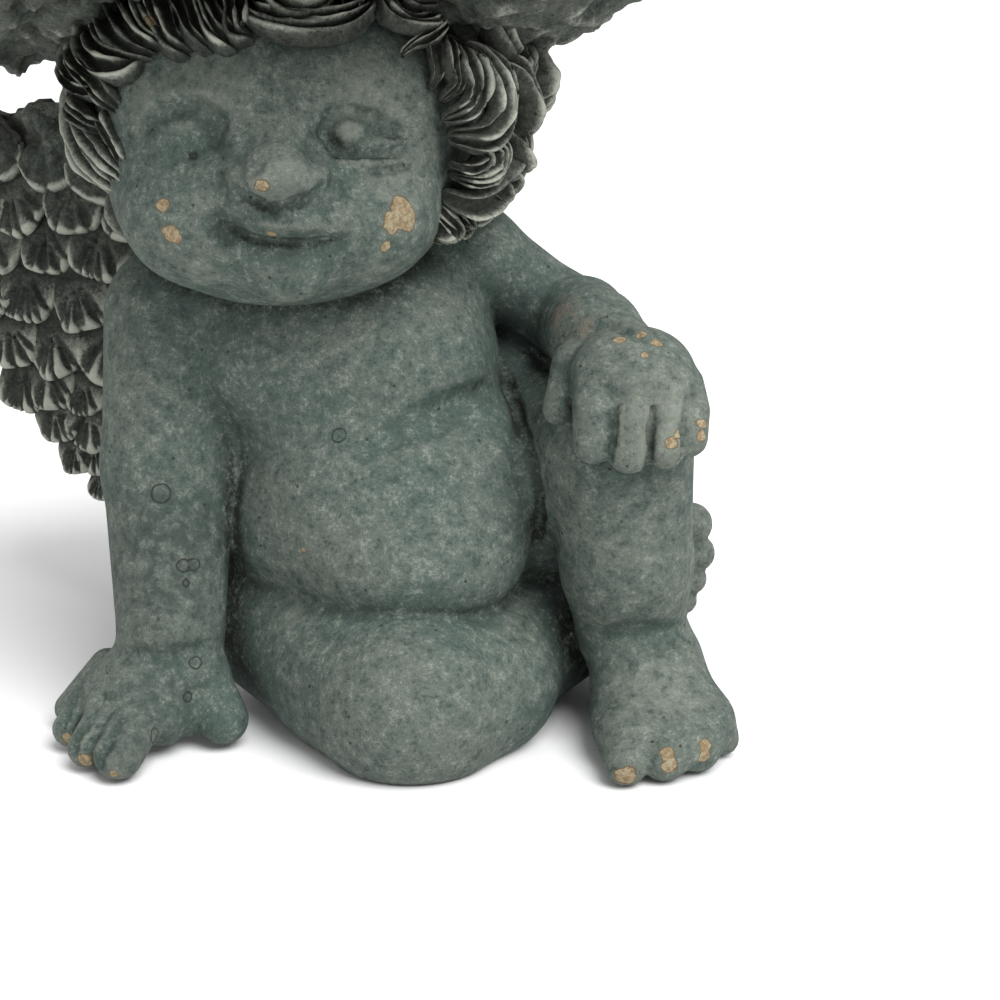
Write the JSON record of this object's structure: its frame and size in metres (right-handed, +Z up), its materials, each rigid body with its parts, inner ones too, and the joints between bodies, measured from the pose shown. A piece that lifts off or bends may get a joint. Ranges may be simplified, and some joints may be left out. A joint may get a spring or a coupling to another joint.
{
  "type": "stone putto statue",
  "caption": "Seated winged child leaning on one hand with the other draped over a raised knee, carrying an open lobed basin on its curly head.",
  "frame": {"origin": "middle of the bounding box in plan, on the flat underside that it stands on", "axes": "+Z up; the figure faces -Y, so its own left is toward +X"},
  "size_m": [0.3, 0.269, 0.2916],
  "materials": {
    "worn_stone": "matt grey-green paint, dry-brushed pale on the relief, worn to a beige body at chips"
  },
  "bodies": {
    "root": {"putto": "worn_stone"}
  },
  "joints": []
}
